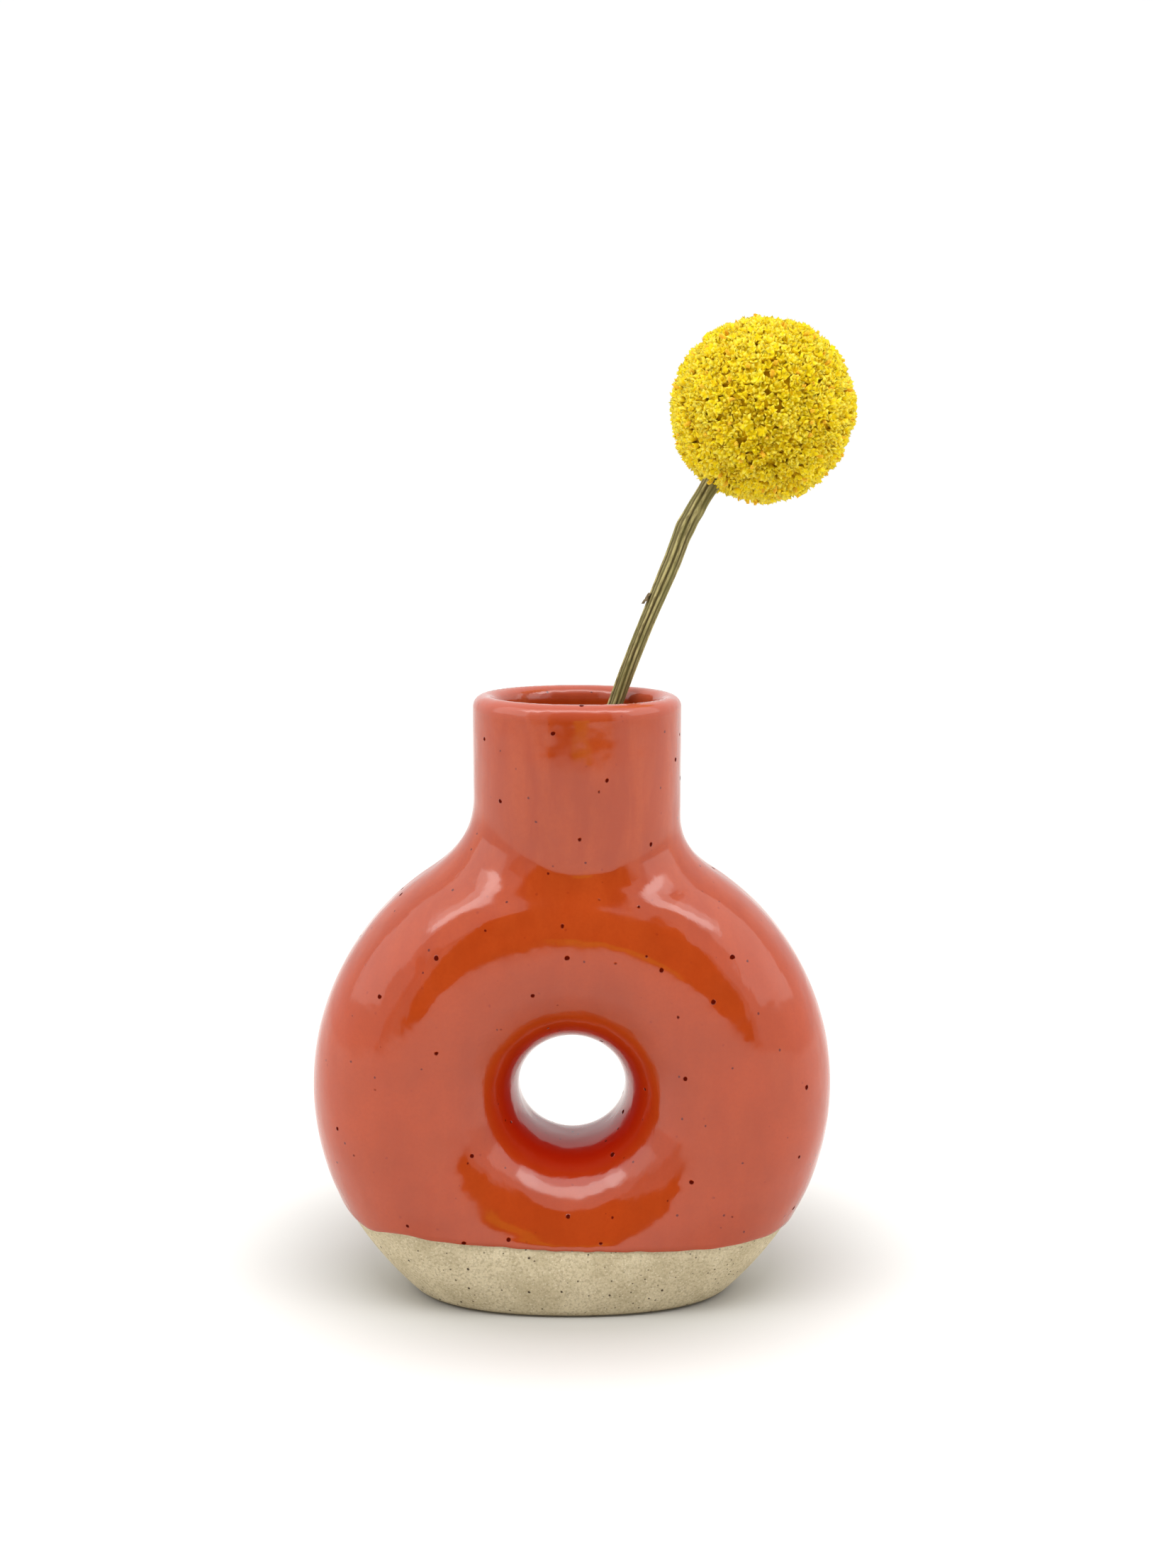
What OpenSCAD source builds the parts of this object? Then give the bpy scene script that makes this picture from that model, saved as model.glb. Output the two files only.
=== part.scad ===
// Ceramic bud vase: a hollow stoneware ring standing on a flat foot, with a
// round neck joined to its top, a glaze coat and one dried globe flower.
// Millimetres. The origin is the centre of the foot on the table, +Z up,
// and the hole through the ring runs along Y.

/* [Vase overall] */
// Height from the table to the top of the lip
vase_h = 100; // [90:0.5:120]
// Width across the glazed ring
ring_w = 86.2; // [76:0.2:100]
// Depth of the glazed ring from front to back
ring_depth = 36.8; // [34:0.2:44]
// Width of the hole through the middle of the ring
hole_w = 17.4; // [12:0.2:30]
// Height of the middle of the hole above the table
ring_mid_z = 35; // [30:0.5:38]

/* [Neck] */
// Outside diameter of the glazed neck
neck_w = 34.2; // [30:0.2:36]
// Inside diameter of the glazed neck
bore_w = 26; // [22:0.2:28]
// Sideways offset of the neck from the middle of the ring
neck_x = 1; // [0:0.1:2]
// Blend radius between neck and ring on the left
blend_left = 12; // [6:0.5:14]
// Blend radius between neck and ring on the right
blend_right = 8; // [6:0.5:14]
// How far each blend is sunk into its neighbours so the surfaces cross
blend_sink = 0.15; // [0.1:0.05:0.3]

/* [Clay and glaze] */
// Thickness of the clay wall
wall = 3.6; // [3:0.1:5]
// Thickness of the clay floor under the hollow
floor_t = 4.2; // [3.5:0.1:6]
// Thickness of the glaze inside and out
glaze = 0.35; // [0.3:0.05:0.5]
// Height of the lower edge of the outside glaze above the table
glaze_line = 12; // [8:0.5:18]

/* [Flower stem] */
// Thickness of the stem
stem_d = 2.4; // [1.8:0.1:2.6]
// Lean of the stem to the right
stem_lean_right = 20.4; // [19:0.1:21]
// Lean of the stem to the back
stem_lean_back = 5.9; // [4:0.1:7]
// Where the stem crosses the lip: right of the ring, behind it, above the table
stem_cross = [7.2, 8.4, 97.9];
// Length of stem below the crossing
stem_below = 96.5; // [60:0.5:96.5]
// Length of straight stem above the crossing
stem_above = 31; // [20:0.5:40]
// Turn of the stem over its two nodes, half at each
stem_bend = 19; // [2:0.5:25]
// Distance between the two nodes
node_gap = 8.6; // [5:0.2:14]
// Diameter of the swelling at a node
node_d = 2.8; // [2.7:0.1:3.2]
// Length from the upper node to the middle of the flower head
stem_tip = 14.8; // [12:0.2:20]
// Height of the leaf stub above the crossing
stub_up = 16.2; // [8:0.2:28]
// Length of the leaf stub
stub_len = 2.6; // [2:0.2:6]

/* [Flower head] */
// Diameter over the florets
head_w = 31.5; // [26:0.5:34]
// Diameter of the solid core the florets grow from
core_w = 17; // [14:0.5:20]
// Number of florets
floret_count = 260; // [120:10:300]
// Height of the free tip of a floret
floret_h = 1.5; // [1:0.1:3]
// Radius of a floret where it leaves its neighbours
floret_base_r = 1.5; // [0.8:0.05:2]
// Radius of a floret at its tip
floret_tip_r = 1.0; // [0.3:0.05:1.3]

/* [Hidden] */
$fn = 96;

ring_r = ring_w / 2;
tube_r = (ring_w - hole_w) / 4;
ring_mid_r = (ring_w + hole_w) / 4;
tube_flat = ring_depth - 2 * tube_r;
neck_r = neck_w / 2;
bore_r = bore_w / 2;
lip_r = (neck_r - bore_r) / 2;
lip_mid_r = bore_r + lip_r;
lip_z = vase_h - lip_r;
neck_foot_z = ring_mid_z + ring_mid_r;
stem_r = stem_d / 2;
head_r = head_w / 2;
core_r = core_w / 2;
floret_root_r = head_r - floret_h;
golden_turn = 180 * (3 - sqrt(5));
big = 200;

clay = [0.74, 0.68, 0.60];
coral = [0.80, 0.28, 0.15];
straw = [0.45, 0.42, 0.22];
yellow = [0.93, 0.73, 0.10];

// ---- shared forms --------------------------------------------------------

// The ring as a filled tube, drawn in by `inset` from its glazed surface.
module ring_form(inset) {
    translate([0, 0, ring_mid_z])
        rotate([90, 0, 0])
            rotate_extrude()
                translate([ring_mid_r, 0]) {
                    for (end = [-1, 1])
                        translate([0, end * tube_flat / 2])
                            circle(r = tube_r - inset);
                    square([2 * (tube_r - inset), tube_flat], center = true);
                }
}

// The neck as a tube with a rounded lip, drawn in by `inset` on every side.
module neck_form(inset) {
    translate([neck_x, 0, 0])
        rotate_extrude() {
            translate([bore_r + inset, neck_foot_z])
                square([2 * (lip_r - inset), lip_z - neck_foot_z]);
            translate([lip_mid_r, lip_z])
                circle(r = lip_r - inset);
        }
}

// One curved blend from the side of the neck down onto the ring: a pipe bend
// whose inner side is the blend. `side` is -1 for left, 1 for right.
module blend(side, radius, inset) {
    bend_r = neck_r + radius;
    dx = bend_r + side * neck_x;
    reach = ring_r + radius - blend_sink;
    dz = sqrt(reach * reach - dx * dx);
    turn = atan2(dz, dx);
    translate([neck_x + side * bend_r, 0, ring_mid_z + dz])
        rotate([90, 0, 0])
            rotate([0, 0, side > 0 ? 180 : -turn])
                rotate_extrude(angle = turn)
                    translate([bend_r, 0])
                        circle(r = neck_r - inset - blend_sink);
}

module both_blends(inset) {
    blend(-1, blend_left, inset);
    blend(1, blend_right, inset);
}

// Straight passage down the neck, from the ring's mid line to height `top`.
module bore_cut(radius, top) {
    translate([neck_x, 0, neck_foot_z])
        cylinder(r = radius, h = top - neck_foot_z);
}

// Everything above height `z`.
module above(z) {
    translate([-big / 2, -big / 2, z])
        cube([big, big, big]);
}

// The hollow inside the clay ring, drawn in by `inset`.
module hollow(inset) {
    intersection() {
        ring_form(glaze + wall + inset);
        above(floor_t + inset);
    }
}

// ---- vase ----------------------------------------------------------------

module ring_body() {
    color(clay)
        difference() {
            intersection() {
                ring_form(glaze);
                above(0);
            }
            hollow(0);
            bore_cut(bore_r + glaze, vase_h);
        }
}

module neck_collar() {
    color(clay)
        difference() {
            union() {
                neck_form(glaze);
                both_blends(glaze);
            }
            ring_form(glaze);
            bore_cut(bore_r + glaze, lip_z);
        }
}

module outer_glaze() {
    color(coral)
        difference() {
            intersection() {
                union() {
                    ring_form(0);
                    neck_form(0);
                    both_blends(0);
                }
                above(glaze_line);
            }
            union() {
                ring_form(glaze);
                neck_form(glaze);
                both_blends(glaze);
                bore_cut(bore_r + glaze, lip_z);
            }
        }
}

module liner_glaze() {
    color(coral)
        difference() {
            union() {
                hollow(0);
                bore_cut(bore_r + glaze, lip_z);
            }
            hollow(glaze);
            bore_cut(bore_r, vase_h);
        }
}

// ---- flower --------------------------------------------------------------

// Puts children in the stem's own frame: origin where the stem crosses the
// lip, +Z up along the straight stem.
module along_stem() {
    translate(stem_cross)
        rotate([-stem_lean_back, stem_lean_right, 0])
            children();
}

// Puts children at the lower node, +Z pointing to the upper node.
module past_lower_node() {
    along_stem()
        translate([0, 0, stem_above])
            rotate([0, stem_bend / 2, 0])
                children();
}

// Puts children at the upper node, +Z pointing on to the flower head.
module past_upper_node() {
    past_lower_node()
        translate([0, 0, node_gap])
            rotate([0, stem_bend / 2, 0])
                children();
}

// Puts children at the middle of the flower head, +Z away from the stem.
module at_head() {
    past_upper_node()
        translate([0, 0, stem_tip])
            children();
}

module stem() {
    color(straw)
        union() {
            along_stem()
                translate([0, 0, -stem_below])
                    cylinder(r = stem_r, h = stem_below + stem_above);
            past_lower_node() {
                sphere(r = node_d / 2);
                cylinder(r = stem_r, h = node_gap);
            }
            past_upper_node() {
                sphere(r = node_d / 2);
                cylinder(r = stem_r, h = stem_tip - core_r + 1);
            }
        }
}

// Dried base of a leaf, pressed against the left side of the stem.
module leaf_stub() {
    color(straw)
        difference() {
            along_stem()
                translate([-stem_r, 0, stub_up])
                    rotate([0, -12, 0])
                        cylinder(r1 = 0.9, r2 = 0.35, h = stub_len);
            stem();
        }
}

// Solid core of the flower head, with a socket for the stem.
module receptacle() {
    color(straw)
        difference() {
            at_head() sphere(r = core_r);
            stem();
        }
}

// Florets packed round the core: one shell whose free tips stand out in a
// golden-angle spiral, with a passage where the stem comes in.
module floret_head() {
    color(yellow)
        difference() {
            at_head() {
                sphere(r = floret_root_r);
                for (i = [0 : floret_count - 1])
                    rotate([0, acos(1 - 2 * (i + 0.5) / floret_count), i * golden_turn])
                        translate([0, 0, floret_root_r - 0.4])
                            cylinder(r1 = floret_base_r, r2 = floret_tip_r,
                                     h = floret_h + 0.4, $fn = 6);
            }
            at_head() sphere(r = core_r);
            past_upper_node()
                translate([0, 0, -node_d])
                    cylinder(r = node_d / 2 + 0.1, h = node_d + stem_tip);
        }
}

ring_body();
neck_collar();
outer_glaze();
liner_glaze();
stem();
leaf_stub();
receptacle();
floret_head();
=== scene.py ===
"""Looks for the ring bud vase and its dried flower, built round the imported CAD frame.

Shapes are worked out in millimetres and turned into metre meshes at the end. The vase's are distance
fields: negative inside, zero on the surface. The main sizes are those of part.scad. The blends, the
leaf and the florets are shaped more finely here, and so are measured in their own way.
"""
import math

import bmesh
import bpy
import numpy as np
import openvdb
from mathutils import Matrix, Vector


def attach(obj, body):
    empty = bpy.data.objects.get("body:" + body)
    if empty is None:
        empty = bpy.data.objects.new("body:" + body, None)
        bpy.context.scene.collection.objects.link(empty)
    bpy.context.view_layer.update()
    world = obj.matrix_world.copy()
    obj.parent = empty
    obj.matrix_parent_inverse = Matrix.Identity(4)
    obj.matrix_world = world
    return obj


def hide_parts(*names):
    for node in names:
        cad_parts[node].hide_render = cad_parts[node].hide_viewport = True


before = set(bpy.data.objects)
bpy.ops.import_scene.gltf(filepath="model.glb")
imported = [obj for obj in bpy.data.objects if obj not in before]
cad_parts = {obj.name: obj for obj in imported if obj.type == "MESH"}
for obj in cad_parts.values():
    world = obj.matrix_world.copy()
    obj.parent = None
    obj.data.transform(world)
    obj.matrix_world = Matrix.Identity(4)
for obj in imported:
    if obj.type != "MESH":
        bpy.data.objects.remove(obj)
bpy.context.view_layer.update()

MM = 0.001

# vase
RING_Z = 35.0  # height of the middle of the ring
RING_MID_R = 25.9  # from there to the middle of the tube
TUBE_R = 17.2
TUBE_FLAT = 1.2  # half of the flat stretch at the ring's widest depth
NECK_X = 1.0
NECK_R = 17.1
NECK_FOOT_Z = 60.9
BORE_R = 13.0
TOP_Z = 100.0
PRESS = 0.11  # share by which the neck's foot is pressed flatter, front to back
PRESS_FROM_Z = 71.0
PRESS_TO_Z = 91.0  # above this the neck is round again
LIP_R = (NECK_R - BORE_R) / 2
LIP_Z = TOP_Z - LIP_R
LIP_MID_R = BORE_R + LIP_R
WALL = 3.6
FLOOR = 4.2
FOOT_SPREAD = 1.0  # how far the weight of the wet ring has pressed its foot down and outward
GLAZE = 0.35
GLAZE_LINE = 12.0
GLAZE_EDGE = 0.45  # height over which the coat's lower edge rounds off
JOIN_GAP = 0.02  # keeps the coat's inner side just clear of the clay
BLEND_LEFT = 8.0
BLEND_RIGHT = 5.8
BLEND_FRONT = 2.0
LINER_TOP = LIP_Z - 4.0  # where the coat over the lip hands over to the liner
SKIN_SLOW = 0.05  # hand-finishing, mm: slow swells,
SKIN_WIPED = 0.035  # rings wiped over the shoulders,
SKIN_LOW = 0.05  # and unevenness low on the body
CHIPS = 16  # in the edge of the foot

# flower, in the stem's own frame: origin where it crosses the lip, +Z up the stem
LIP_CROSS = (7.2, 8.4, 97.9)
LEAN_RIGHT = math.radians(20.4)
LEAN_BACK = math.radians(5.9)
STEM_BELOW = 96.5
STEM_ABOVE = 31.0
NODE_GAP = 8.6
STEM_BEND = math.radians(19)
STEM_TIP = 14.8
NODES_AT = (STEM_ABOVE, STEM_ABOVE + NODE_GAP)
STEM_R = 1.2
RIB_DEPTH = 0.08
LEAF_TOP = 18.6  # from the lip up the stem to the torn leaf's fixed end
LEAF_LENGTH = 2.0
HEAD_R = 15.75
CORE_R = 8.5
FLORETS = 2500
BUDS = 150
STEM_CLEARING = math.radians(6.5)  # no florets this near to the stem
HULL_DEPTH = 2.0  # of the closed ball under the florets, below the head's surface
HULL_POINTS = 1500

# grids that the fields are meshed on; the coat's is just coarse enough to be exported whole
CLAY_VOXEL = 0.7
COAT_VOXEL = 0.74
LINER_VOXEL = 0.9

# stage and camera, metres
TABLE_EDGE = 0.62  # how far the white table reaches in front of the vase
TABLE_SIZE = 3.0
SHADE_BEHIND = 0.015  # the table's patch of painted shade is centred this far behind the vase
SHADE_R = 0.035  # it has no painted glow, so is fully shaded, up to here,
GLOW_R = 0.07  # and its painted glow runs into the backdrop from here on
CAMERA_PLACE = (0.0027, -0.340, 0.1374)  # these three fitted to the vase's outline in the photograph
CAMERA_DOWN = math.radians(8.74)
CAMERA_LENS = 48.36  # mm, for 36 mm along the frame's longer side


# ---- distance fields of the vase -------------------------------------------------------------


def smooth_min(a, b, width):
    """The lower of two fields, blended where they are less than `width` apart."""
    near = np.maximum(width - np.abs(a - b), 0) / width
    return np.minimum(a, b) - near * near * width / 4


def smooth_max(a, b, width):
    return -smooth_min(-a, -b, width)


def ease(value, low, high):
    """0 below `low`, 1 above `high`, with a smooth step between."""
    t = np.clip((value - low) / (high - low), 0, 1)
    return t * t * (3 - 2 * t)


def handmade(p):
    """Slight unevenness of a hand-finished form: how far the surface is drawn in."""
    x, y, z = p[..., 0], p[..., 1], p[..., 2]
    slow = np.sin(x / 9 + y / 14 + 0.4) + np.sin(z / 11 - x / 17 + 1.3)
    out = np.hypot(x, z - RING_Z)
    on_shoulders = ease(z, 40, 58) * ease(out, 22, 30) * (1 - ease(z, 64, 78))
    wiped = np.sin(out * 1.5 + 0.8 * np.sin(x / 6)) * on_shoulders
    on_lower_front = ease(z, 10, 13) * (1 - ease(z, 17, 24))
    low = np.sin(x / 3.4 + 1.9 * np.sin(z / 5)) * np.sin(z / 2.6 + 0.5) * on_lower_front
    return SKIN_SLOW * (2 + slow) + SKIN_WIPED * (1 + wiped) + SKIN_LOW * (1 + low)


def ring_field(p, inset):
    """Distance from the ring's tube, drawn in by `inset`."""
    low = np.clip(1 - p[..., 2] / GLAZE_LINE, 0, 1.2)
    across = np.hypot(p[..., 0], p[..., 2] + FOOT_SPREAD * low * low - RING_Z) - RING_MID_R
    depth = np.maximum(np.abs(p[..., 1]) - TUBE_FLAT, 0)
    return np.hypot(across, depth) - TUBE_R + inset


def neck_radius(p):
    return np.hypot(p[..., 0] - NECK_X, p[..., 1])


def neck_wall_field(p, inset):
    """Distance from the neck's wall, a tube with a fully rounded lip."""
    over = np.maximum(p[..., 2] - LIP_Z, 0)
    press = 1 + PRESS * (1 - ease(p[..., 2], PRESS_FROM_Z, PRESS_TO_Z))
    radius = np.hypot(p[..., 0] - NECK_X, p[..., 1] * press)
    wall = np.hypot(radius - LIP_MID_R, over) - LIP_R + inset
    return np.maximum(wall, NECK_FOOT_Z - p[..., 2])


def blend_width(p):
    """The blend from neck to ring is wide at the sides and almost nothing at front and back."""
    dx = p[..., 0] - NECK_X
    sideways = dx * dx / (dx * dx + p[..., 1] ** 2 + 1e-6)
    side = np.where(dx < 0, BLEND_LEFT, BLEND_RIGHT)
    return BLEND_FRONT + sideways * (side - BLEND_FRONT)


def outside_field(p, inset=0.0):
    """The outer surface of ring, neck and lip."""
    joined = smooth_min(ring_field(p, inset), neck_wall_field(p, inset), blend_width(p))
    return joined + handmade(p)


def bore_field(p, radius):
    """Inside of the neck, from the middle of the ring's tube upwards."""
    return np.maximum(neck_radius(p) - radius, NECK_FOOT_Z - p[..., 2])


def hollow_field(p, inset):
    """The hollow in the ring with the bore above it, drawn in by `inset`."""
    hollow = smooth_max(ring_field(p, GLAZE + WALL + inset), FLOOR + inset - p[..., 2], 1.5)
    return smooth_min(hollow, bore_field(p, BORE_R + GLAZE - inset), 1.5)


def chip_field(p):
    """Small chips out of the edge of the foot, placed round an oval a little inside its rim."""
    chips = np.random.default_rng(7)
    foot_x, foot_y = 24.6, 13.6
    nearest = np.full(p.shape[:-1], 1e3)
    for turn in chips.uniform(0, 2 * math.pi, CHIPS):
        size = chips.uniform(0.5, 1.1)
        centre = (foot_x * math.cos(turn), foot_y * math.sin(turn), -0.1)
        nearest = np.minimum(nearest, np.linalg.norm(p - centre, axis=-1) - size)
    return nearest


def clay_ring_field(p):
    shell = smooth_max(ring_field(p, GLAZE) + handmade(p), -p[..., 2], 1.2)
    shell = smooth_max(shell, -chip_field(p), 0.4)
    return np.maximum(shell, -hollow_field(p, 0.0))


def clay_collar_field(p):
    collar = np.maximum(outside_field(p, GLAZE), -ring_field(p, GLAZE) - handmade(p))
    return np.maximum(collar, -bore_field(p, BORE_R + GLAZE))


def rise(turn, middle, width):
    """A bump of height 1 round the vase, centred at one bearing; angles in degrees."""
    apart = (turn - middle + 180) % 360 - 180
    return np.exp(-((apart / width) ** 2))


def glaze_line(p):
    """Height of the dip line: nearly level at the front, and washed higher at the left end."""
    turn = np.degrees(np.arctan2(p[..., 1], p[..., 0]))
    left = 1.3 * rise(turn, -140, 28) + 0.9 * rise(turn, -150, 8) + 5.0 * rise(turn, 180, 12)
    right_and_back = 0.5 * rise(turn, 0, 25) + 0.9 * rise(turn, 60, 30) + 0.6 * rise(turn, 120, 18)
    ripple = 0.05 * np.sin(np.radians(turn) * 23) + 0.04 * np.sin(np.radians(turn) * 41)
    return GLAZE_LINE + left + right_and_back + ripple


# ---- meshes ----------------------------------------------------------------------------------


def slope(field, p):
    """Gradient of a field by central differences."""
    step = 0.02
    parts = []
    for axis in np.eye(3) * step:
        parts.append((field(p + axis) - field(p - axis)) / (2 * step))
    return np.stack(parts, -1)


def settle(field, p, rounds=4):
    """Moves points onto the surface where the field is zero. A slope under a half counts as a half."""
    for _ in range(rounds):
        g = slope(field, p)
        p = p - g * (field(p) / np.maximum((g * g).sum(-1), 0.25))[..., None]
    return p


def skin(field, low, high, voxel):
    """Points and quads over the surface where a field is zero."""
    low = np.array(low, float)
    counts = ((np.array(high) - low) / voxel).astype(int) + 1
    axes = [low[i] + voxel * np.arange(counts[i]) for i in range(3)]
    grid = openvdb.FloatGrid(10.0)
    grid.copyFromArray(field(np.stack(np.meshgrid(*axes, indexing="ij"), -1)).astype(np.float32))
    points, quads = grid.convertToQuads(isovalue=0.0)
    return settle(field, low + voxel * points.astype(float)), quads


def add_object(name, mesh, material, body, replaced):
    """Adds one visible piece on its body; `replaced` lists the CAD nodes it stands for, if any."""
    piece = bpy.data.objects.new(name, mesh)
    bpy.context.scene.collection.objects.link(piece)
    mesh.materials.append(material)
    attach(piece, body)
    if replaced:
        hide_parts(*replaced)


def mesh_from(name, points, faces):
    mesh = bpy.data.meshes.new(name)
    mesh.from_pydata((np.asarray(points) * MM).tolist(), [], [list(map(int, f)) for f in faces])
    mesh.validate()
    mesh.shade_smooth()
    return mesh


def points_of(bm):
    return np.array([v.co for v in bm.verts])


def place(bm, points):
    for vert, point in zip(bm.verts, points):
        vert.co = point


def cut_level(bm, height, keep_above=False, keep_below=False):
    """Cuts all faces at one height, and drops one side if asked."""
    everything = bm.verts[:] + bm.edges[:] + bm.faces[:]
    bmesh.ops.bisect_plane(
        bm, geom=everything, dist=1e-5, plane_co=(0, 0, height), plane_no=(0, 0, 1),
        clear_outer=keep_below, clear_inner=keep_above,
    )


def edge_roll(height):
    """How far the glaze is drawn in near its lower edge: a rounded edge under a faint bead."""
    up = np.clip(height / GLAZE_EDGE, 0, 1)
    rounded = (GLAZE - 0.04) * (1 - np.sqrt(1 - (1 - up) ** 2))
    bead = 0.05 * np.exp(-(((height - 0.9) / 0.6) ** 2))
    return rounded - bead


def bm_skin(field, low, high, voxel):
    """The same surface as an editable mesh, without the quads that fold up."""
    points, quads = skin(field, low, high, voxel)
    bm = bmesh.new()
    verts = [bm.verts.new(p) for p in points]
    for quad in quads:
        corners = [verts[i] for i in quad]
        if len(set(corners)) == 4:
            bm.faces.new(corners)
    bmesh.ops.recalc_face_normals(bm, faces=bm.faces[:])
    return bm


def shell_mesh(name, bm, field, thickness):
    """A closed thin layer: the surface in `bm`, and a copy moved out of it by `thickness`."""
    bm.verts.index_update()
    outer = points_of(bm)
    normals = slope(field, outer)
    normals /= np.linalg.norm(normals, axis=-1)[:, None]
    faces = [[v.index for v in f.verts] for f in bm.faces]
    count = len(outer)
    back = [[i + count for i in reversed(f)] for f in faces]
    sides = []
    for edge in bm.edges:
        if edge.is_boundary:
            loop = edge.link_loops[0]
            a = loop.vert.index
            b = edge.other_vert(loop.vert).index
            sides.append([b, a, a + count, b + count])
    bm.free()
    points = np.concatenate([outer, outer + normals * thickness])
    return mesh_from(name, points, faces + back + sides)


def in_bore(point):
    """Whether a point of the vase's skin is on the neck's inside, where the liner takes over."""
    inside = math.hypot(point.x - NECK_X, point.y) < LIP_MID_R - 0.3
    return inside and NECK_FOOT_Z < point.z < LINER_TOP


def outer_glaze_mesh():
    """The coral coat over ring, neck and lip, with a rounded lower edge along the dip line."""
    bm = bm_skin(outside_field, (-46, -21, 6), (46, 21, 102), COAT_VOXEL)
    below_liner_top = [f for f in bm.faces if in_bore(f.calc_center_median())]
    bmesh.ops.delete(bm, geom=below_liner_top, context="FACES")
    points = points_of(bm)
    points[:, 2] -= glaze_line(points)
    place(bm, points)
    cut_level(bm, 0.0, keep_above=True)
    for height in (0.06, 0.16, 0.3, 0.5, 0.9, 1.5):
        cut_level(bm, height)
    points = points_of(bm)
    height = points[:, 2].copy()
    points[:, 2] += glaze_line(points)
    points = settle(outside_field, points, 1)
    normals = slope(outside_field, points)
    place(bm, points - normals * edge_roll(height)[:, None])
    return shell_mesh("outer_glaze", bm, outside_field, JOIN_GAP - GLAZE)


def liner_mesh():
    """The poured coat inside ring and neck, up to where the coral coat comes over the lip."""

    def field(p):
        return hollow_field(p, GLAZE)

    bm = bm_skin(field, (-42, -18, 2), (42, 18, 101), LINER_VOXEL)
    cut_level(bm, LINER_TOP, keep_below=True)
    bmesh.ops.reverse_faces(bm, faces=bm.faces[:])
    return shell_mesh("liner_glaze", bm, field, GLAZE - 0.05)


def clay_mesh(name, field, low, high):
    bm = bm_skin(field, low, high, CLAY_VOXEL)
    mesh = bpy.data.meshes.new(name)
    place(bm, points_of(bm) * MM)
    bm.to_mesh(mesh)
    bm.free()
    mesh.shade_smooth()
    return mesh


# ---- flower ----------------------------------------------------------------------------------


def turned(angle):
    return Matrix.Rotation(angle, 4, "Y")


LEAN = turned(LEAN_RIGHT) @ Matrix.Rotation(-LEAN_BACK, 4, "X")
ALONG_STEM = Matrix.Translation(LIP_CROSS) @ LEAN
LOWER_NODE = ALONG_STEM @ Matrix.Translation((0, 0, STEM_ABOVE)) @ turned(STEM_BEND / 2)
UPPER_NODE = LOWER_NODE @ Matrix.Translation((0, 0, NODE_GAP)) @ turned(STEM_BEND / 2)
HEAD = UPPER_NODE @ Matrix.Translation((0, 0, STEM_TIP))


def moved(matrix, points):
    m = np.array(matrix)
    return np.asarray(points) @ m[:3, :3].T + m[:3, 3]


def add_shade(mesh, name, values):
    """Stores one number per point for the material to read."""
    shade = mesh.attributes.new(name, "FLOAT", "POINT")
    shade.data.foreach_set("value", np.asarray(values, np.float32))


def stem_line(lengths):
    """The stem's lean and middle line at distances along it: straight, then round two soft nodes."""
    lean = np.zeros_like(lengths)
    for node in NODES_AT:
        lean += STEM_BEND / 2 / (1 + np.exp(-(lengths - node) * 0.45))
    step = np.diff(lengths, prepend=lengths[0])
    # the bow of the dried stalk, to the right
    bow = 0.2 * ease(lengths, -14, 0) + 1.1 * ease(lengths, 2, 42) - 0.4 * ease(lengths, 24, 32)
    x = np.cumsum(step * np.sin(lean)) + bow
    z = lengths[0] + np.cumsum(step * np.cos(lean))
    return lean, x, z


def stem_mesh():
    """A ribbed stalk swept along the stem's line and into the flower core."""
    sides = 120
    lengths = np.concatenate([
        np.linspace(-STEM_BELOW, -6, 60),
        np.linspace(-5.5, NODES_AT[1] + STEM_TIP - CORE_R + 1, 130),
    ])
    lean, x, z = stem_line(lengths)
    # nodes are a little thicker, the stem is wider from below the lower one up, and a leaf left a scar
    swell = sum(0.14 * np.exp(-(((lengths - node) / 1.4) ** 2)) for node in NODES_AT)
    flare = 0.24 * ease(lengths, STEM_ABOVE - 18, STEM_ABOVE - 6)
    scar = 0.30 * np.exp(-(((lengths - STEM_ABOVE - 3) / 1.2) ** 2))
    turn = np.linspace(0, 2 * math.pi, sides, endpoint=False)
    scar_side = np.maximum(np.cos(turn + 1.0), 0) ** 3
    rings, heights = [], []
    for i in range(len(lengths)):
        twisted = turn + lengths[i] * 0.010 + 0.15 * math.sin(lengths[i] / 6)
        ribs = np.cos(11 * twisted) + 0.8 * np.cos(7 * twisted + 0.8) + 0.3 * np.cos(5 * turn + 2)
        radius = STEM_R - 0.05 + RIB_DEPTH * ribs + swell[i] + flare[i] + scar[i] * scar_side
        across = radius * np.cos(turn)
        rings.append(np.stack([
            x[i] + across * math.cos(lean[i]),
            radius * np.sin(turn),
            z[i] - across * math.sin(lean[i]),
        ], -1))
        heights.append(ribs / 4 + 0.5 + scar[i] * scar_side)
    points = moved(ALONG_STEM, np.concatenate(rings))
    faces = []
    for i in range(len(lengths) - 1):
        for j in range(sides):
            k = (j + 1) % sides
            faces.append([i * sides + j, i * sides + k, (i + 1) * sides + k, (i + 1) * sides + j])
    faces.append(list(reversed(range(sides))))
    faces.append([(len(lengths) - 1) * sides + j for j in range(sides)])
    mesh = mesh_from("stem", points, faces)
    add_shade(mesh, "rib", np.concatenate(heights))
    return mesh


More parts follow.
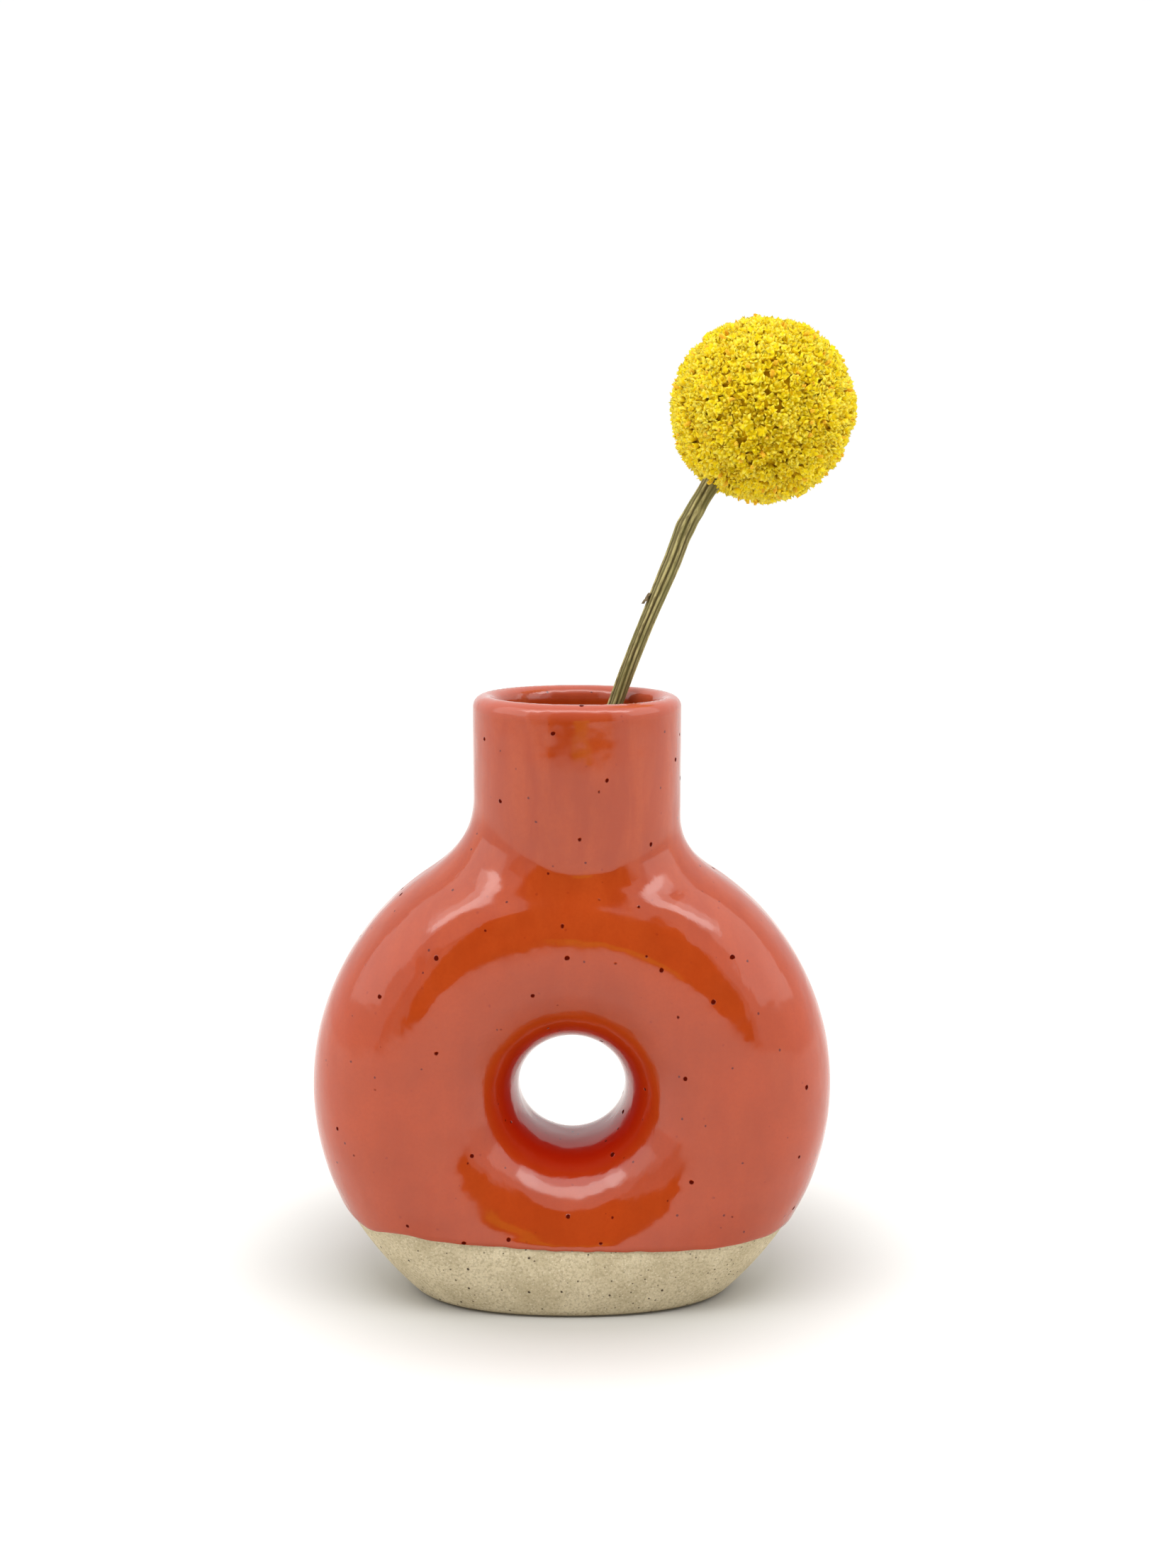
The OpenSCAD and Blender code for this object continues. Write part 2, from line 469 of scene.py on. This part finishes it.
def leaf_stub_mesh():
    """A torn, curled leaf base, fixed to the left of the stem at its top and standing off below."""
    rows, columns = 14, 9
    outer, inner = [], []
    for i in range(rows):
        down = i / (rows - 1)
        half = 0.35 + 0.35 * math.sin(math.pi * min(0.2 + down * 0.6, 1.0))
        away = 1.05 + 0.40 * down ** 1.4
        height = LEAF_TOP - LEAF_LENGTH * down
        for j in range(columns):
            across = (j / (columns - 1) * 2 - 1) * half
            curl = 0.5 * across * across + 0.08 * math.sin(across * 9 + i)
            outer.append((-away + curl, across, height + 0.1 * math.sin(across * 11)))
            inner.append((-away + curl + 0.30 - 0.12 * down, across * 0.96, height + 0.12))
    count = rows * columns
    faces = []
    for i in range(rows - 1):
        for j in range(columns - 1):
            a = i * columns + j
            quad = [a, a + 1, a + columns + 1, a + columns]
            faces.append(quad[::-1])
            faces.append([q + count for q in quad])
    rim = list(range(columns))
    rim += [(i + 1) * columns - 1 for i in range(1, rows)]
    rim += [(rows - 1) * columns + j for j in reversed(range(columns - 1))]
    rim += [i * columns for i in reversed(range(1, rows - 1))]
    for a, b in zip(rim, rim[1:] + rim[:1]):
        faces.append([a, b, b + count, a + count])
    return mesh_from("leaf_stub", moved(ALONG_STEM, outer + inner), faces)


def floret_shape(open_by):
    """One floret on its tube: five creased lobes round a throat, nearly closed (0) to flat (1)."""
    points = [(0, 0, -0.16)]
    faces = []
    for i in range(5):
        middle = i * 2 * math.pi / 5
        notch = middle + math.pi / 5
        uneven = 0.08 * math.sin(i * 2.4)
        for radius, turn, height in (
            (0.20, middle, -0.08),
            (0.34 + 0.06 * open_by, middle, 0.22 - 0.12 * open_by + uneven),
            (0.38 + 0.22 * open_by, middle + 0.15, 0.46 - 0.40 * open_by + uneven),
            (0.42 + 0.04 * open_by, middle, 0.05 - 0.15 * open_by),
            (0.41, notch, 0.10 - 0.10 * open_by),
            (0.16, middle, -0.9),
        ):
            points.append((radius * math.cos(turn), radius * math.sin(turn), height))
    for i in range(5):
        inner, crease, tip, under, cleft, root = range(1 + 6 * i, 7 + 6 * i)
        before = 5 + 6 * ((i - 1) % 5)
        root_after = 6 + 6 * ((i + 1) % 5)
        faces += [[0, inner, cleft], [0, before, inner]]
        faces += [[inner, crease, cleft], [inner, before, crease]]
        faces += [[crease, tip, cleft], [crease, before, tip]]
        faces += [[cleft, tip, under], [tip, before, under]]
        faces += [[cleft, under, root], [under, before, root]]
        faces += [[cleft, root, root_after]]
    faces.append([6 + 6 * i for i in reversed(range(5))])
    return np.array(points, float), faces


def bud_shape():
    """One closed floret: a pointed drop on a short stalk."""
    points, faces = [], []
    profile = [(0.12, -0.9), (0.22, -0.3), (0.27, 0.1), (0.19, 0.5)]
    for radius, height in profile:
        for i in range(6):
            turn = i * math.pi / 3
            points.append((radius * math.cos(turn), radius * math.sin(turn), height))
    points.append((0, 0, 0.85))
    for ring in range(3):
        for i in range(6):
            k = (i + 1) % 6
            a = ring * 6
            faces.append([a + i, a + k, a + 6 + k, a + 6 + i])
    faces += [[18 + i, 18 + (i + 1) % 6, 24] for i in range(6)]
    faces.append([5, 4, 3, 2, 1, 0])
    return np.array(points, float), faces


def lumps(d):
    """Small heads within the ball: how far its surface rises in direction `d`."""
    return (
        np.sin(d[:, 0] * 11 + 2.1 * d[:, 1] * 3)
        + np.sin(d[:, 1] * 12 - d[:, 2] * 5 + 1)
        + np.sin(d[:, 2] * 13 + d[:, 0] * 4 + 2)
    ) / 3


def scatter(shape, directions, tips, sizes, seed):
    """Copies a shape over the head: `tips` is each copy's distance from the middle of the head."""
    rng = np.random.default_rng(seed)
    points, faces = shape
    count = len(directions)
    up = directions + rng.normal(0, 0.22, (count, 3))
    up /= np.linalg.norm(up, axis=1)[:, None]
    side = np.cross(up, rng.normal(size=(count, 3)))
    side /= np.linalg.norm(side, axis=1)[:, None]
    other = np.cross(up, side)
    axes = np.stack([side, other, up], 1)
    placed = np.einsum("pk,nkc->npc", points, axes) + rng.normal(0, 0.05, (count, len(points), 3))
    placed *= sizes[:, None, None]
    placed += (directions * tips[:, None])[:, None, :]
    reach = np.linalg.norm(placed, axis=-1)
    placed *= np.minimum(1, (HEAD_R - 0.05) / reach)[..., None]
    offset = len(points) * np.arange(count)
    all_faces = [[v + int(o) for v in f] for o in offset for f in faces]
    return placed.reshape(-1, 3), all_faces


def spread(count, seed, wander):
    """Directions in a golden-angle spiral over a ball, each moved a little, none at the stem."""
    i = np.arange(count)
    height = 1 - 2 * (i + 0.5) / count
    turn = i * math.pi * (3 - math.sqrt(5))
    flat = np.sqrt(1 - height * height)
    d = np.stack([flat * np.cos(turn), flat * np.sin(turn), height], -1)
    d += np.random.default_rng(seed).normal(0, wander, d.shape)
    d /= np.linalg.norm(d, axis=1)[:, None]
    return d[d[:, 2] > -math.cos(STEM_CLEARING)]


FLORET_LIGHT = [0.0] + [0.25, 0.75, 1.0, 0.55, 0.35, 0.0] * 5  # painted light and shade: throat, then each lobe's points, 1 lit at the lobe tips and 0 shaded at the roots


def hull_ball():
    """Points and faces of the closed ball that shows between the florets."""
    hull = bmesh.new()
    for p in spread(HULL_POINTS, seed=9, wander=0.0) * (HEAD_R - HULL_DEPTH):
        hull.verts.new(p)
    bmesh.ops.convex_hull(hull, input=hull.verts[:])
    hull.verts.index_update()
    points = points_of(hull)
    faces = [[v.index for v in f.verts] for f in hull.faces]
    hull.free()
    return points, faces


def florets_mesh():
    """All the open florets, in three stages of opening, over the closed ball."""
    rng = np.random.default_rng(21)
    d = spread(FLORETS, seed=3, wander=0.026)
    tips = HEAD_R - 1.25 + 0.45 * lumps(d) + rng.normal(0, 0.2, len(d))
    sizes = rng.uniform(1.3, 2.2, len(d))
    kind = rng.integers(0, 3, len(d))
    points, faces, light = [], [], []
    start = 0
    for number, open_by in enumerate((0.3, 0.6, 0.9)):
        some = kind == number
        shape = floret_shape(open_by)
        more_points, more_faces = scatter(shape, d[some], tips[some], sizes[some], seed=5 + number)
        points.append(more_points)
        faces += [[v + start for v in f] for f in more_faces]
        light.append(np.outer(rng.uniform(0.45, 1.0, some.sum()), FLORET_LIGHT).ravel())
        start += len(more_points)
    ball_points, ball_faces = hull_ball()
    points.append(ball_points)
    faces += [[v + start for v in f] for f in ball_faces]
    light.append(np.zeros(len(ball_points)))
    mesh = mesh_from("florets", moved(HEAD, np.concatenate(points)), faces)
    add_shade(mesh, "light", np.concatenate(light))
    return mesh


def buds_mesh():
    """The closed orange florets scattered among the open ones."""
    rng = np.random.default_rng(4)
    d = spread(BUDS, seed=8, wander=0.1)
    tips = HEAD_R - 0.9 + rng.normal(0, 0.15, len(d))
    sizes = rng.uniform(0.9, 1.4, len(d))
    points, faces = scatter(bud_shape(), d, tips, sizes, seed=8)
    return mesh_from("floret_buds", moved(HEAD, points), faces)


# ---- materials -------------------------------------------------------------------------------


class Shader:
    """A Principled material with short ways to add procedural nodes in object coordinates."""

    def __init__(self, name):
        self.material = bpy.data.materials.new(name)
        self.material.use_nodes = True
        self.tree = self.material.node_tree
        self.surface = self.tree.nodes["Principled BSDF"]
        self.place = self.add("ShaderNodeTexCoord").outputs["Object"]

    def add(self, kind, **settings):
        node = self.tree.nodes.new(kind)
        for key, value in settings.items():
            setattr(node, key, value)
        return node

    def join(self, source, target):
        self.tree.links.new(source, target)

    def noise(self, size_mm, detail=3.0, rough=0.55, warp=0.0, at=None):
        """Cloudy noise with features of about this size, at other coordinates where `at` is given."""
        node = self.add("ShaderNodeTexNoise")
        node.inputs["Scale"].default_value = 1000 / size_mm
        node.inputs["Detail"].default_value = detail
        node.inputs["Roughness"].default_value = rough
        node.inputs["Distortion"].default_value = warp
        self.join(at or self.place, node.inputs["Vector"])
        return node.outputs["Fac"]

    def spots(self, spacing_mm, radius_mm, soft=0.35):
        """1 inside scattered spots, 0 outside. A wobble keeps them from being quite round."""
        wobble_size, wobble_reach = 4 * radius_mm, 1.4 * radius_mm
        wobble = self.add("ShaderNodeTexNoise")
        wobble.inputs["Scale"].default_value = 1000 / wobble_size
        self.join(self.place, wobble.inputs["Vector"])
        nudged = self.add("ShaderNodeVectorMath", operation="MULTIPLY_ADD")
        nudged.inputs[1].default_value = (wobble_reach * MM,) * 3
        self.join(wobble.outputs["Color"], nudged.inputs[0])
        self.join(self.place, nudged.inputs[2])
        node = self.add("ShaderNodeTexVoronoi")
        node.inputs["Scale"].default_value = 1000 / spacing_mm
        self.join(nudged.outputs["Vector"], node.inputs["Vector"])
        edge = radius_mm / spacing_mm
        return self.ramp(node.outputs["Distance"], edge, edge * (1 - soft), 0, 1)

    def ramp(self, value, low, high, low_to=0.0, high_to=1.0):
        """`value` from `low` to `high` becomes `low_to` to `high_to`, and stays level beyond."""
        node = self.add("ShaderNodeMapRange", clamp=True)
        node.inputs["From Min"].default_value = low
        node.inputs["From Max"].default_value = high
        node.inputs["To Min"].default_value = low_to
        node.inputs["To Max"].default_value = high_to
        self.join(value, node.inputs["Value"])
        return node.outputs["Result"]

    def mix(self, amount, first, second):
        """Colour mix; each colour is an rgb tuple or a socket."""
        node = self.add("ShaderNodeMix", data_type="RGBA")
        self.join(amount, node.inputs["Factor"])
        for key, colour in (("A", first), ("B", second)):
            socket = [s for s in node.inputs if s.name == key and s.type == "RGBA"][0]
            if isinstance(colour, tuple):
                socket.default_value = (*colour, 1)
            else:
                self.join(colour, socket)
        return [s for s in node.outputs if s.type == "RGBA"][0]

    def height(self):
        """Height above the table."""
        node = self.add("ShaderNodeSeparateXYZ")
        self.join(self.place, node.inputs["Vector"])
        return node.outputs["Z"]

    def colour(self, socket):
        self.join(socket, self.surface.inputs["Base Color"])

    def roughness(self, socket):
        self.join(socket, self.surface.inputs["Roughness"])

    def bump(self, height, depth_mm, before=None):
        """Bumps the surface, on top of the bump `before` where there is one."""
        node = self.add("ShaderNodeBump")
        node.inputs["Strength"].default_value = 1.0
        node.inputs["Distance"].default_value = depth_mm * MM
        self.join(height, node.inputs["Height"])
        if before is not None:
            self.join(before, node.inputs["Normal"])
        self.join(node.outputs["Normal"], self.surface.inputs["Normal"])
        return node.outputs["Normal"]


def scaled(colour, by):
    return tuple(c * by for c in colour)


def stretched_down(s, share):
    """Coordinates in which a texture is drawn out up and down."""
    node = s.add("ShaderNodeVectorMath", operation="MULTIPLY")
    node.inputs[1].default_value = (1, 1, share)
    s.join(s.place, node.inputs[0])
    return node.outputs["Vector"]


def from_hole_axis(s):
    """Distance from the axis of the ring's hole."""
    flat = s.add("ShaderNodeVectorMath", operation="MULTIPLY_ADD")
    flat.inputs[1].default_value = (1, 0, 1)
    flat.inputs[2].default_value = (0, 0, -RING_Z * MM)
    s.join(s.place, flat.inputs[0])
    away = s.add("ShaderNodeVectorMath", operation="LENGTH")
    s.join(flat.outputs["Vector"], away.inputs[0])
    return away.outputs["Value"]


def glaze_material(name, thin, pooled_and_shaded):
    """Glossy coral glaze: mottled, run in streaks on the neck, and paler over the lip, a painted
    reflection of the light above it.

    It is deeper and darker in the ring's hole, partly where it pooled and partly as painted shade of
    the hollow, and has iron specks in it.
    """
    s = Shader(name)
    height = s.height()
    streaks = s.noise(4.5, 4, 0.6, 0.4, at=stretched_down(s, 0.22))
    dark = scaled(thin, 0.82)
    pale = (thin[0] * 1.02, thin[1] * 1.30, thin[2] * 1.7)
    painted_lip_sheen = (thin[0] * 1.12, thin[1] * 1.8, thin[2] * 8)
    even = s.mix(s.ramp(s.noise(7, 4), 0.35, 0.65), scaled(thin, 0.94), scaled(thin, 1.05))
    streaked = s.mix(s.ramp(streaks, 0.38, 0.62), dark, pale)
    colour = s.mix(s.ramp(height, 58 * MM, 78 * MM, 0.2, 0.6), even, streaked)
    colour = s.mix(s.ramp(s.noise(0.5, 2), 0.4, 0.75, 0, 0.3), colour, dark)
    # darker in the ring's hole: partly pooled glaze, partly painted shade
    colour = s.mix(s.ramp(from_hole_axis(s), 14.5 * MM, 10.5 * MM), colour, pooled_and_shaded)
    # painted reflection: the lip is paled as if lit by the light above it
    over_lip = s.ramp(height, (LIP_Z - 0.8) * MM, (LIP_Z + 1.2) * MM, 0, 0.9)
    colour = s.mix(over_lip, colour, painted_lip_sheen)
    faint = s.ramp(s.spots(3.6, 0.3, 0.6), 0, 1, 0, 0.5)
    colour = s.mix(faint, colour, (0.26, 0.02, 0.004))
    colour = s.mix(s.spots(3.3, 0.26, 0.4), colour, (0.13, 0.006, 0.001))
    specks = s.spots(5.0, 0.44, 0.25)
    colour = s.mix(specks, colour, (0.09, 0.004, 0.001))
    s.colour(colour)
    s.join(s.ramp(specks, 0, 1, 0.5, 0.0), s.surface.inputs["Specular IOR Level"])
    s.roughness(s.ramp(s.noise(6, 2), 0.3, 0.7, 0.07, 0.14))
    swell = s.bump(s.noise(8, 1), 0.19)
    swell = s.bump(s.noise(3.2, 1), 0.06, swell)
    swell = s.bump(streaks, 0.05, swell)
    s.bump(specks, 0.04, swell)
    s.surface.inputs["IOR"].default_value = 1.56
    return s.material


def clay_material():
    """Sandy buff stoneware with grog, dark pits, and darker towards the bottom edge of the foot."""
    s = Shader("bare_clay")
    colour = s.mix(s.ramp(s.noise(5, 4), 0.35, 0.65), (0.56, 0.47, 0.295), (0.71, 0.61, 0.41))
    colour = s.mix(s.ramp(s.noise(0.45, 3), 0.45, 0.68, 0, 0.65), colour, (0.37, 0.29, 0.165))
    colour = s.mix(s.ramp(s.noise(0.35, 2), 0.58, 0.72, 0, 0.6), colour, (0.86, 0.78, 0.60))
    colour = s.mix(s.spots(1.5, 0.20, 0.5), colour, (0.12, 0.085, 0.05))
    colour = s.mix(s.spots(2.6, 0.28, 0.4), colour, (0.075, 0.048, 0.026))
    # darker towards the bottom edge of the foot
    foot_edge_dark = s.ramp(s.height(), 1.3 * MM, 0.2 * MM, 0, 0.35)
    s.colour(s.mix(foot_edge_dark, colour, (0.30, 0.19, 0.09)))
    s.roughness(s.ramp(s.noise(2, 3), 0.3, 0.7, 0.82, 0.95))
    grain = s.bump(s.noise(0.5, 4, 0.7), 0.16)
    s.bump(s.spots(1.9, 0.2, 0.8), -0.15, grain)
    return s.material


def stem_material():
    """Dry straw with tan ribs, painted shade in the grooves, and greener stretches."""
    s = Shader("dry_stem")
    stretch = s.add("ShaderNodeMapping", vector_type="TEXTURE")
    stretch.inputs["Rotation"].default_value = (LEAN_BACK, LEAN_RIGHT, 0)
    stretch.inputs["Scale"].default_value = (1, 1, 14)
    s.join(s.place, stretch.inputs["Vector"])
    s.place = stretch.outputs["Vector"]
    ribs = s.add("ShaderNodeAttribute", attribute_name="rib")
    groove_shade, ridge = (0.055, 0.040, 0.008), (0.50, 0.43, 0.18)
    # painted shade: the grooves between the ribs are darkened
    colour = s.mix(s.ramp(ribs.outputs["Fac"], 0.25, 0.75), groove_shade, ridge)
    colour = s.mix(s.ramp(s.noise(0.3, 3), 0.45, 0.65, 0, 0.7), colour, (0.10, 0.065, 0.018))
    colour = s.mix(s.ramp(s.noise(1.5, 2), 0.42, 0.62, 0, 0.6), colour, (0.15, 0.14, 0.035))
    s.colour(colour)
    s.surface.inputs["Roughness"].default_value = 0.75
    s.surface.inputs["Specular IOR Level"].default_value = 0.3
    s.bump(s.noise(0.2, 3), 0.05)
    return s.material


def leaf_material():
    s = Shader("dry_leaf")
    colour = s.mix(s.ramp(s.noise(0.6, 3), 0.35, 0.65), (0.07, 0.045, 0.018), (0.24, 0.17, 0.08))
    s.colour(colour)
    s.surface.inputs["Roughness"].default_value = 0.75
    s.bump(s.noise(0.3, 3), 0.05)
    return s.material


def flower_material(name, gap_shade, low, high, tip):
    """Yellow with painted shade towards the roots of the florets and in the gaps, painted light on the
    lobe tips, and each floret a little different.
    """
    s = Shader(name)
    middle = s.add("ShaderNodeVectorMath", operation="DISTANCE")
    middle.inputs[1].default_value = tuple(MM * c for c in HEAD.translation)
    s.join(s.place, middle.inputs[0])
    # painted shade: darker deeper in the head, towards the florets' roots and the ball between them
    depth = s.ramp(middle.outputs["Value"], (HEAD_R - 2.1) * MM, (HEAD_R - 0.9) * MM)
    petals = s.mix(s.ramp(s.noise(1.1, 2), 0.35, 0.65), low, high)
    light = s.add("ShaderNodeAttribute", attribute_name="light")
    # painted light on the lobe tips and painted shade at the throats, from the 'light' numbers
    petals = s.mix(s.ramp(light.outputs["Fac"], 0.3, 0.95, 0, 0.9), petals, tip)
    s.colour(s.mix(depth, gap_shade, petals))
    s.surface.inputs["Roughness"].default_value = 0.8
    s.surface.inputs["Specular IOR Level"].default_value = 0.1
    s.surface.inputs["Sheen Weight"].default_value = 0.8
    s.surface.inputs["Sheen Roughness"].default_value = 0.5
    s.surface.inputs["Sheen Tint"].default_value = (1.0, 0.86, 0.12, 1)
    return s.material


def pith_material():
    s = Shader("dry_pith")
    colour = (0.36, 0.27, 0.10)
    s.colour(s.mix(s.ramp(s.noise(0.8, 3), 0.3, 0.7), scaled(colour, 0.97), colour))
    s.surface.inputs["Roughness"].default_value = 0.9
    s.bump(s.noise(0.6, 3), 0.01)
    return s.material


def floor_material():
    """Pale paper with a painted glow a little way from the vase, so that it runs into the backdrop
    unseen; the dimmer patch round the vase is painted shade.
    """
    s = Shader("pale_floor")
    s.surface.inputs["Base Color"].default_value = (0.54, 0.53, 0.50, 1)
    s.surface.inputs["Roughness"].default_value = 0.8
    s.surface.inputs["Emission Color"].default_value = (1, 1, 1, 1)
    away = s.add("ShaderNodeVectorMath", operation="DISTANCE")
    vase_y = TABLE_EDGE - TABLE_SIZE / 2  # in the floor's own coordinates
    away.inputs[1].default_value = (0, vase_y + SHADE_BEHIND, 0)
    s.join(s.place, away.inputs[0])
    # painted glow: the floor emits light away from the vase, leaving a patch of painted shade round it
    painted_glow = s.ramp(away.outputs["Value"], SHADE_R, GLOW_R, 0, 0.52)
    s.join(painted_glow, s.surface.inputs["Emission Strength"])
    return s.material


# ---- the object ------------------------------------------------------------------------------

clay = clay_material()
coral = glaze_material("coral_glaze", (0.43, 0.050, 0.006), (0.41, 0.014, 0.002))
coral_inside = glaze_material("liner_glaze", (0.58, 0.028, 0.004), (0.41, 0.014, 0.002))

add_object(
    "clay_ring", clay_mesh("clay_ring", clay_ring_field, (-45, -20, -2), (45, 20, 80)),
    clay, "vase", ["ring_body"],
)
add_object(
    "clay_collar", clay_mesh("clay_collar", clay_collar_field, (-26, -20, 58), (28, 20, 102)),
    clay, "vase", ["neck_collar"],
)
add_object("glaze_coat", outer_glaze_mesh(), coral, "vase", ["outer_glaze"])
add_object("glaze_liner", liner_mesh(), coral_inside, "vase", ["liner_glaze"])
add_object("flower_stem", stem_mesh(), stem_material(), "flower", ["stem"])
add_object("leaf_base", leaf_stub_mesh(), leaf_material(), "flower", ["leaf_stub"])
yellow = flower_material(
    "floret_yellow",
    gap_shade=(0.72, 0.47, 0.002), low=(0.93, 0.65, 0.003), high=(0.98, 0.78, 0.006), tip=(1.0, 0.89, 0.15),
)
orange = flower_material(
    "bud_orange",
    gap_shade=(0.60, 0.25, 0.01), low=(0.85, 0.42, 0.02), high=(0.92, 0.60, 0.04), tip=(0.75, 0.28, 0.02),
)
add_object("florets", florets_mesh(), yellow, "flower", ["floret_head"])
add_object("floret_buds", buds_mesh(), orange, "flower", None)
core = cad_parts["receptacle"]
core.data.materials.clear()
core.data.materials.append(pith_material())


# ---- stage, light and camera -----------------------------------------------------------------


def add_floor():
    bm = bmesh.new()
    bmesh.ops.create_grid(bm, x_segments=1, y_segments=1, size=TABLE_SIZE / 2)
    mesh = bpy.data.meshes.new("floor")
    bm.to_mesh(mesh)
    bm.free()
    mesh.materials.append(floor_material())
    plane = bpy.data.objects.new("floor", mesh)
    plane.location = (0, TABLE_SIZE / 2 - TABLE_EDGE, 0)
    bpy.context.scene.collection.objects.link(plane)


def area_light(name, location, target, size, power):
    light = bpy.data.lights.new(name, "AREA")
    light.shape = "RECTANGLE"
    light.size, light.size_y = size
    light.energy = power
    lamp = bpy.data.objects.new(name, light)
    lamp.location = location
    lamp.rotation_euler = (Vector(target) - Vector(location)).to_track_quat("-Z", "Y").to_euler()
    bpy.context.scene.collection.objects.link(lamp)


def card(name, y, across, up, colour):
    """An upright card in front of the vase, seen only in its reflections and never by the camera.

    `across` and `up` are its ends in x and in z.
    """
    s = Shader(name)
    s.surface.inputs["Base Color"].default_value = (*colour, 1)
    s.surface.inputs["Roughness"].default_value = 1.0
    left, right = across
    bottom, top = up
    bm = bmesh.new()
    corners = [(left, y, bottom), (right, y, bottom), (right, y, top), (left, y, top)]
    bm.faces.new([bm.verts.new(c) for c in corners])
    mesh = bpy.data.meshes.new(name)
    bm.to_mesh(mesh)
    bm.free()
    mesh.materials.append(s.material)
    board = bpy.data.objects.new(name, mesh)
    board.visible_camera = False
    bpy.context.scene.collection.objects.link(board)


def build_stage():
    add_floor()
    world = bpy.data.worlds.new("studio")
    world.use_nodes = True
    world.node_tree.nodes["Background"].inputs["Color"].default_value = (1, 1, 1, 1)
    world.node_tree.nodes["Background"].inputs["Strength"].default_value = 1.01
    bpy.context.scene.world = world
    black, grey, ochre = (0.01, 0.01, 0.01), (0.5, 0.47, 0.47), (0.50, 0.45, 0.02)
    past_table = -TABLE_EDGE - 0.01
    card("dark_front", past_table, (-0.39, 0.52), (-0.5, 0.60), black)
    card("grey_left", past_table, (-0.75, -0.39), (-0.5, 0.50), grey)
    card("grey_right", past_table, (0.52, 0.64), (-0.5, 0.50), grey)
    card("warm_front", -0.42, (-0.02, 0.10), (0.03, 0.085), ochre)
    area_light("panel", (0, -0.22, 0.53), target=(0, -0.22, 0), size=(1.1, 0.26), power=1.2)
    area_light("strip", (0, -0.25, 0.52), target=(0, -0.25, 0), size=(1.1, 0.14), power=1.2)
    for side in (-1, 1):
        place_at = (0.6 * side, -0.1, 0.45)
        area_light("softbox", place_at, target=(0, 0, 0.05), size=(0.6, 0.6), power=1.0)


def build_camera():
    camera = bpy.data.cameras.new("camera")
    camera.sensor_width = 36
    camera.lens = CAMERA_LENS
    camera.clip_start = 0.01
    eye = bpy.data.objects.new("camera", camera)
    eye.location = CAMERA_PLACE
    eye.rotation_euler = (math.radians(90) - CAMERA_DOWN, 0, 0)
    bpy.context.scene.collection.objects.link(eye)
    bpy.context.scene.camera = eye
    bpy.context.scene.view_settings.view_transform = "Standard"


build_stage()
build_camera()
